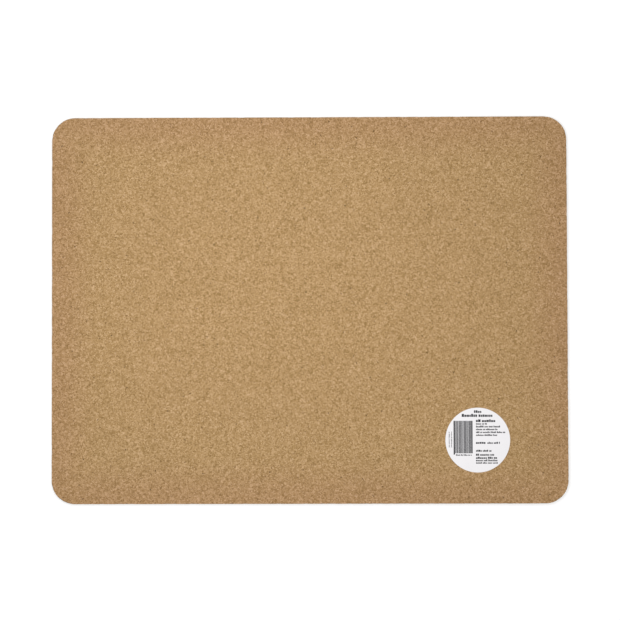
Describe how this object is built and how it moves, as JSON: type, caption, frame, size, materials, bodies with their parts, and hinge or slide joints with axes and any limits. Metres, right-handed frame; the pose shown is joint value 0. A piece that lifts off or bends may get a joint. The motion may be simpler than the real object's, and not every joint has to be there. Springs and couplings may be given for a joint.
{
  "type": "cork-backed desk mat",
  "caption": "Stiff rectangular mat with rounded corners, a wipe-clean face, a fibreboard core and a cork back with a round label.",
  "frame": {"origin": "middle of the decorated face, which is the lowest face as stored, at Z = 0", "axes": "+X along the long side, +Y along the short side, +Z out of the cork back. Stored with the cork up and the decorated face down: in use it is turned over, with the cork on the table"},
  "size_m": [0.4, 0.3, 0.0041],
  "materials": {
    "clear_lacquer": "satin",
    "printed_paper": "matte",
    "glue_film": "satin",
    "fibreboard": "matte",
    "edge_paint": "satin",
    "cork": "matte",
    "label_glue": "satin",
    "label_stock": "matte"
  },
  "bodies": {
    "root": {"top_coat": "clear_lacquer", "decor_sheet": "printed_paper", "decor_glue": "glue_film", "core_board": "fibreboard", "cork_glue": "glue_film", "edge_coat": "edge_paint", "cork_sheet": "cork", "label_adhesive": "label_glue", "label_paper": "label_stock"}
  },
  "joints": []
}
